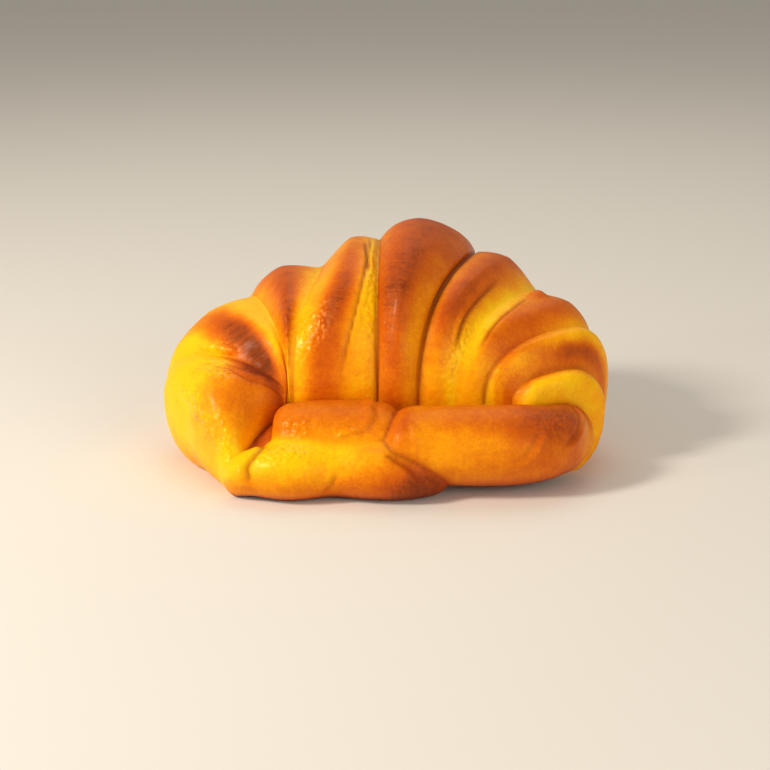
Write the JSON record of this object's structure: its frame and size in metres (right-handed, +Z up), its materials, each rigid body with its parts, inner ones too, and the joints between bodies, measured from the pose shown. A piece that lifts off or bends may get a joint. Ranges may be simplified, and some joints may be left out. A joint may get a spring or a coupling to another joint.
{
  "type": "croissant",
  "caption": "Baked croissant in a closed crescent: overlapping bands of golden-brown dough fan out over a thick belly, and its horns curl round to meet in front.",
  "frame": {"origin": "middle of the footprint, on the surface that the croissant rests on", "axes": "+X along the width, +Y from the horns in front to the belly at the back, +Z up"},
  "size_m": [0.146, 0.1176, 0.0734],
  "materials": {
    "crust": "baked egg-washed crust, satin, brown on the ridges and yellow in the valleys"
  },
  "bodies": {
    "root": {"croissant": "crust"}
  },
  "joints": []
}
